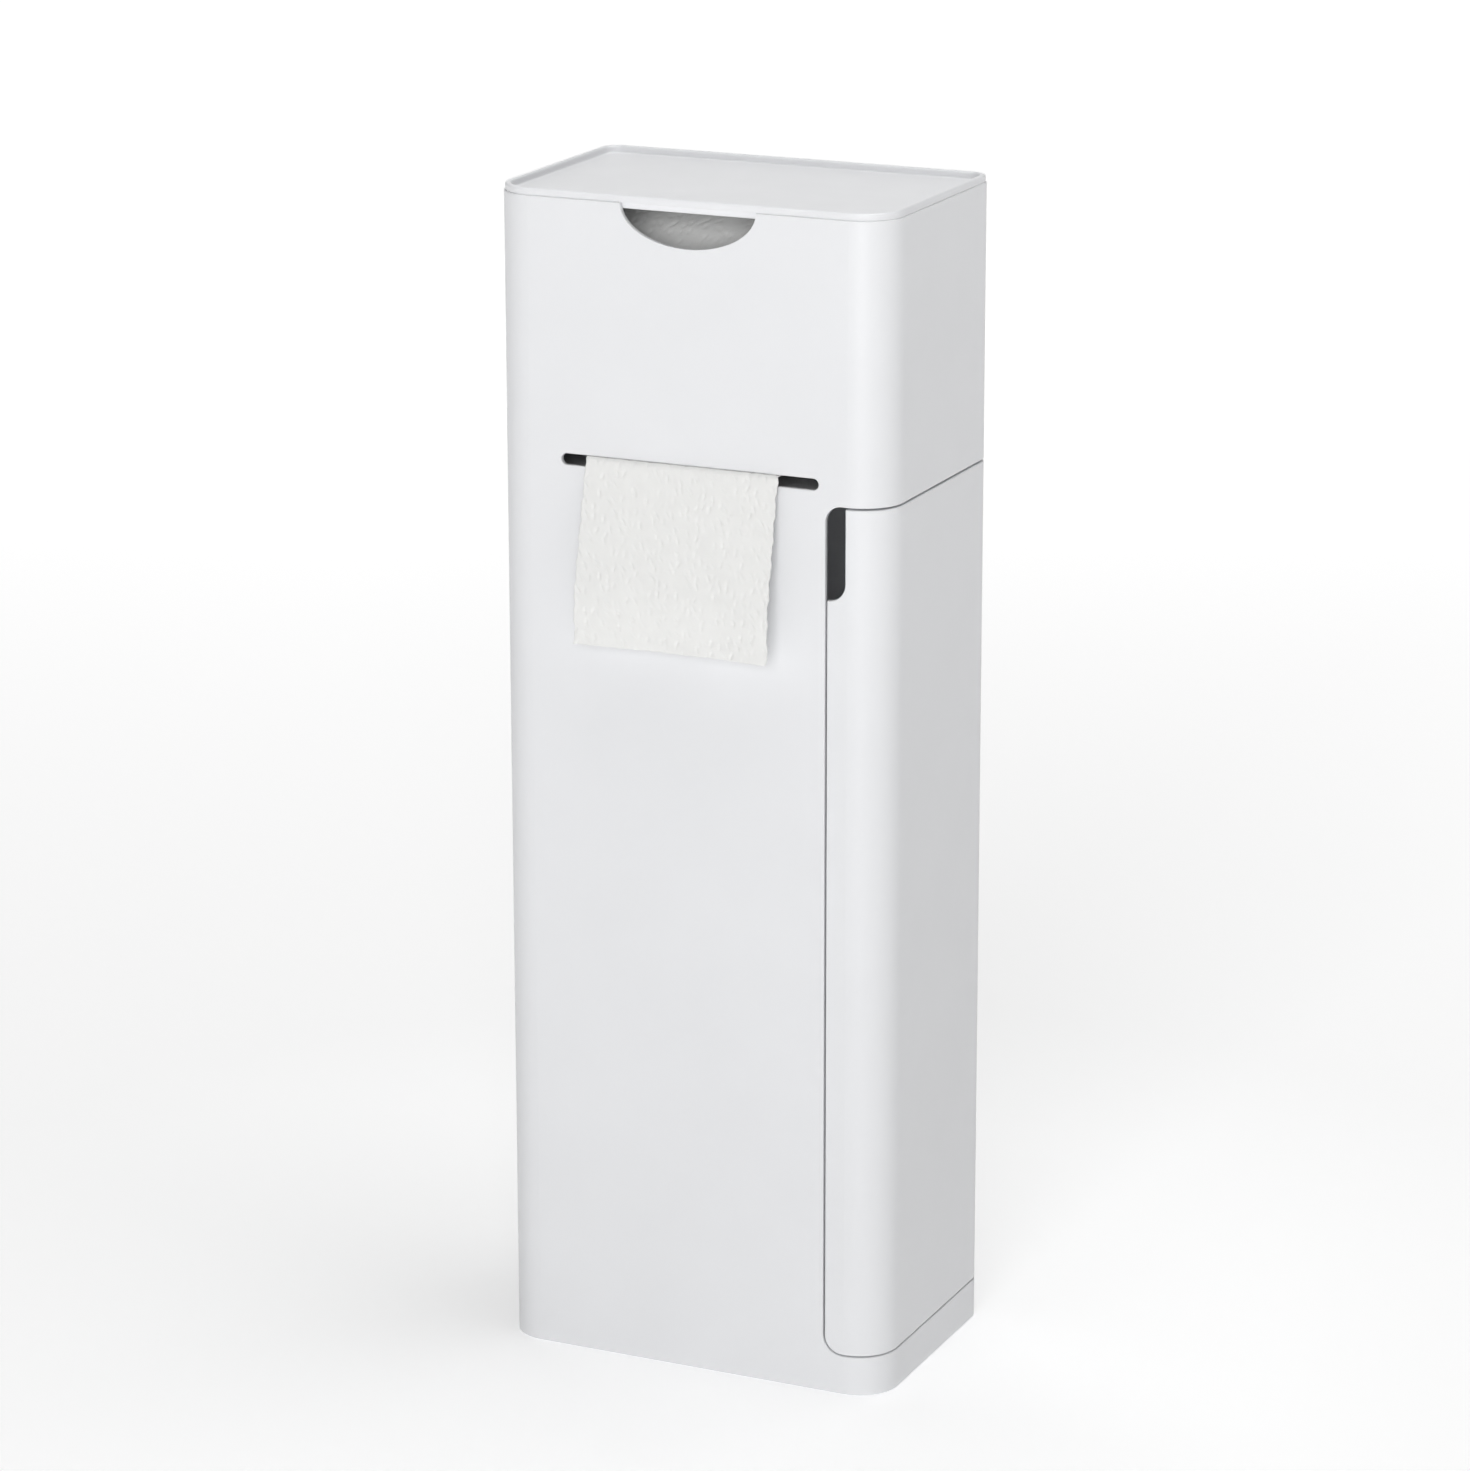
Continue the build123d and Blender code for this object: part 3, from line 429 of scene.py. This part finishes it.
def make_tail():
    """The limp sheet: quilted, a little wavy, its lower corners curling."""
    line, length = rounded_line(TAIL_POINTS, TAIL_RADII, SHEET_STEP)
    width = tail_high.x - tail_low.x
    across = np.linspace(-width / 2, width / 2, SHEET_COLUMNS)
    along = np.linspace(0, length, len(line))
    tangent = np.gradient(line, axis=0)
    tangent /= np.linalg.norm(tangent, axis=1)[:, None]
    normal = np.stack([tangent[:, 1], -tangent[:, 0]], -1)
    u, v = np.meshgrid(across / (width / 2), along / length)
    outside = 1 - share_of(line[:, 0], INSIDE_START, INSIDE_END)[:, None]
    flat_x, flat_y = np.meshgrid(across, along)
    lift = outside * SHEET_DENT * (embossing(flat_x, flat_y) - 1)
    waves = sum(height * np.sin(a * u + b * v + start) for height, a, b, start in SHEET_WAVES)
    lift += outside * share_of(v, WAVES_FROM, 1) * waves
    corners = CURL_RIGHT * share_of(u, CURL_RIGHT_FROM, 1) + CURL_LEFT * share_of(-u, CURL_LEFT_FROM, 1)
    lift += share_of(v, CURL_FROM, 1) ** 2 * corners
    taper = NARROW_AT_SLOT + (1 - NARROW_AT_SLOT) * v
    shift = SLOT_SHIFT + (END_SHIFT - SLOT_SHIFT) * v
    crinkle = outside * np.abs(u) ** SIDE_POWER * rippled(along, SIDE_RIPPLES)[:, None]
    torn = share_of(v, TORN_FROM, 1) * (rippled(across, END_RIPPLES) + SHEET_LEAN * u[0])
    xs = (tail_low.x + tail_high.x) / 2 + across[None, :] * taper + shift + crinkle
    ys = line[:, 0][:, None] + normal[:, 0][:, None] * lift
    zs = line[:, 1][:, None] + normal[:, 1][:, None] * lift + torn
    verts = np.stack([xs, ys, zs], -1).reshape(-1, 3)
    obj = add_mesh("paper_sheet", verts, grid_faces(len(line), SHEET_COLUMNS), "paper", "root")
    solid = obj.modifiers.new("thickness", "SOLIDIFY")
    solid.thickness = SHEET_THICKNESS
    solid.offset = 0
    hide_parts("paper_tail")
    return obj


make_tail()

# Bristles: tufts that stand out from the head in rings, as bundles of thin strands

bristle_low, bristle_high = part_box("brush_bristles")
head_low, head_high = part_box("brush_head")
bristle_axis = (bristle_low + bristle_high) / 2
bristle_reach = (bristle_high.x - bristle_low.x) / 2
head_reach = (head_high.x - head_low.x) / 2
BRISTLE_RINGS = 15
BRISTLE_TUFTS = 22
BRISTLE_STRANDS = 9
BRISTLE_RADIUS = 0.28 * MM
BRISTLE_SIDES = 4
BRISTLE_ROOT = 1.0 * MM
BRISTLE_BEND, BEND_LOBES = 0.03, 3
BRISTLE_POINTS = (0.0, 0.5, 1.0)
BRISTLE_SAG = 1.5
TIP_NARROW = 0.75
TIP_FAN = 9.6 * MM
TIP_MARGIN = 0.4 * MM
TIP_PLAY = 0.1 * MM
RING_MARGIN = 6 * MM
END_ROUND = 9 * MM

# Standard deviations of a strand's angle in radians, its height and its length
STRAND_TURN, STRAND_HEIGHT, STRAND_LENGTH = 0.05, 1.1 * MM, 0.35 * MM
ROOT_SPREAD = 0.4


def end_inset(depth):
    """How far the round outline lies inside the cylinder at a depth from its end."""
    if depth >= END_ROUND:
        return 0.0
    return END_ROUND - math.sqrt(max(0.0, END_ROUND ** 2 - (END_ROUND - depth) ** 2))


def make_bristles():
    """Strands from the head to the rounded outline of the plain solid that they replace."""
    verts, faces = [], []
    low, high = bristle_low.z, bristle_high.z
    root = head_reach - BRISTLE_ROOT
    for ring in range(BRISTLE_RINGS):
        share = (ring + 0.5) / BRISTLE_RINGS
        z = low + RING_MARGIN + (high - low - 2 * RING_MARGIN) * share
        fan = (share - 0.5) * TIP_FAN
        for tuft in range(BRISTLE_TUFTS):
            turn = 2 * math.pi * (tuft + 0.5 * (ring % 2)) / BRISTLE_TUFTS
            for _ in range(BRISTLE_STRANDS):
                angle = turn + rng.normal(0, STRAND_TURN)
                rise = rng.normal(0, STRAND_HEIGHT)
                root_z = z + rise * ROOT_SPREAD
                tip_z = min(max(z + rise + fan, low + TIP_MARGIN), high - TIP_MARGIN)
                tip = bristle_reach - end_inset(min(tip_z - low, high - tip_z)) - TIP_PLAY
                tip -= abs(rng.normal(0, STRAND_LENGTH))
                points = []
                for t in BRISTLE_POINTS:
                    radius = root + (tip - root) * t
                    bend = angle + BRISTLE_BEND * t * t * math.sin(turn * BEND_LOBES + ring)
                    points.append(Vector((bristle_axis.x + radius * math.cos(bend),
                                          bristle_axis.y + radius * math.sin(bend),
                                          root_z + (tip_z - root_z) * t ** BRISTLE_SAG)))
                add_strand(verts, faces, points)
    obj = add_mesh("bristle_tufts", verts, faces, "bristle", "brush")
    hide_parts("brush_bristles")
    return obj


def add_strand(verts, faces, points):
    """A thin closed rod along a few points, narrower at its tip."""
    start = len(verts)
    final = len(points) - 1
    for i, point in enumerate(points):
        along = (points[min(i + 1, final)] - points[max(i - 1, 0)]).normalized()
        side = along.cross(Vector((0, 0, 1))).normalized()
        up = side.cross(along)
        size = BRISTLE_RADIUS * (TIP_NARROW if i == final else 1.0)
        for k in range(BRISTLE_SIDES):
            turn = 2 * math.pi * k / BRISTLE_SIDES
            verts.append(point + (side * math.cos(turn) + up * math.sin(turn)) * size)
    faces.extend(grid_faces(len(points), BRISTLE_SIDES, wrap=True, start=start))
    last = start + final * BRISTLE_SIDES
    faces.append(tuple(range(start, start + BRISTLE_SIDES))[::-1])
    faces.append(tuple(range(last, last + BRISTLE_SIDES)))


make_bristles()

# Floor: pale and matte, with a glow that grows with the distance, so that it ends in white

FLOOR_HALF = 30.0
FLOOR_PALE = (0.93, 0.93, 0.93, 1)
GLOW_DISTANCE = (0.5, 4.0)
GLOW_STRENGTH = (0.28, 1.0)

floor_mesh = bpy.data.meshes.new("floor")
floor_mesh.from_pydata([(-FLOOR_HALF, -FLOOR_HALF, 0), (FLOOR_HALF, -FLOOR_HALF, 0),
                        (FLOOR_HALF, FLOOR_HALF, 0), (-FLOOR_HALF, FLOOR_HALF, 0)], [], [(0, 1, 2, 3)])
floor = bpy.data.objects.new("floor", floor_mesh)
bpy.context.scene.collection.objects.link(floor)
floor_look = Shader("floor")
distance = floor_look.node("VectorMath")
distance.operation = "LENGTH"
floor_look.feed(distance, "0", floor_look.object_place())
floor_look.surface(Base_Color=FLOOR_PALE, Roughness=0.9, Specular_IOR_Level=0.1,
                   Emission_Color=(1, 1, 1, 1),
                   Emission_Strength=floor_look.ramp(distance.outputs["Value"], GLOW_DISTANCE,
                                                     GLOW_STRENGTH))
floor_mesh.materials.append(floor_look.material)


# Soft lights

def add_area(name, place, target, size, power):
    """A soft rectangular light in watts that points at a target."""
    data = bpy.data.lights.new(name, "AREA")
    data.shape = "RECTANGLE"
    data.size, data.size_y = size
    data.energy = power
    light = bpy.data.objects.new(name, data)
    light.location = place
    light.rotation_mode = "QUATERNION"
    light.rotation_quaternion = (Vector(target) - Vector(place)).to_track_quat("-Z", "Y")
    bpy.context.scene.collection.objects.link(light)
    return light


MIDDLE = (0, 0, 0.30)
UPPER_BACK = (0, 0, 0.58)
add_area("front", place=(1.055, -3.936, 1.316), target=MIDDLE, size=(2.2, 2.2), power=87)
add_area("overhead", place=(0.30, 0.12, 2.86), target=MIDDLE, size=(1.8, 1.8), power=47)
add_area("rear", place=(-1.24, 2.60, 1.40), target=UPPER_BACK, size=(2.6, 1.5), power=11)

# The world gives little light, and is white where it is seen above the floor's far edge

WORLD_LIGHT, WORLD_SEEN = 0.03, 1.0
world = bpy.data.worlds.new("studio")
bpy.context.scene.world = world
world.use_nodes = True
background = world.node_tree.nodes["Background"]
background.inputs["Color"].default_value = (1, 1, 1, 1)
rays = world.node_tree.nodes.new("ShaderNodeLightPath")
strength = world.node_tree.nodes.new("ShaderNodeMapRange")
strength.inputs["To Min"].default_value = WORLD_LIGHT
strength.inputs["To Max"].default_value = WORLD_SEEN
world.node_tree.links.new(rays.outputs["Is Camera Ray"], strength.inputs["Value"])
world.node_tree.links.new(strength.outputs["Result"], background.inputs["Strength"])

# Camera: position, yaw, pitch and roll in the row frame, with the lens in pixels of the photograph

PHOTO_WIDTH, PHOTO_HEIGHT = 1470, 1471
CAMERA_PLACE = (1.024223, -2.234421, 1.020669)
CAMERA_YAW, CAMERA_PITCH, CAMERA_ROLL = (math.radians(a) for a in (25.389, 15.655, -0.277))
LENS_PIXELS = 5225.887
LENS_CENTRE = (676.199, 691.4)
CAMERA_NEAR, CAMERA_FAR = 0.05, 100.0
LIGHT_BOUNCES = 10

forward = Vector((-math.sin(CAMERA_YAW) * math.cos(CAMERA_PITCH),
                  math.cos(CAMERA_YAW) * math.cos(CAMERA_PITCH), -math.sin(CAMERA_PITCH)))
level = Vector((math.cos(CAMERA_YAW), math.sin(CAMERA_YAW), 0))
upward = level.cross(forward)
right = level * math.cos(CAMERA_ROLL) + upward * math.sin(CAMERA_ROLL)
up = upward * math.cos(CAMERA_ROLL) - level * math.sin(CAMERA_ROLL)
camera_data = bpy.data.cameras.new("camera")
camera_data.sensor_fit = "HORIZONTAL"
camera_data.lens = LENS_PIXELS / PHOTO_WIDTH * camera_data.sensor_width
camera_data.shift_x = (PHOTO_WIDTH / 2 - LENS_CENTRE[0]) / PHOTO_WIDTH
camera_data.shift_y = (LENS_CENTRE[1] - PHOTO_HEIGHT / 2) / PHOTO_WIDTH
camera_data.clip_start, camera_data.clip_end = CAMERA_NEAR, CAMERA_FAR
camera = bpy.data.objects.new("camera", camera_data)
bpy.context.scene.collection.objects.link(camera)
camera.matrix_world = Matrix(((right.x, up.x, -forward.x, CAMERA_PLACE[0]),
                              (right.y, up.y, -forward.y, CAMERA_PLACE[1]),
                              (right.z, up.z, -forward.z, CAMERA_PLACE[2]),
                              (0, 0, 0, 1)))
bpy.context.scene.camera = camera
bpy.context.scene.view_settings.view_transform = "Standard"
bpy.context.scene.cycles.diffuse_bounces = LIGHT_BOUNCES
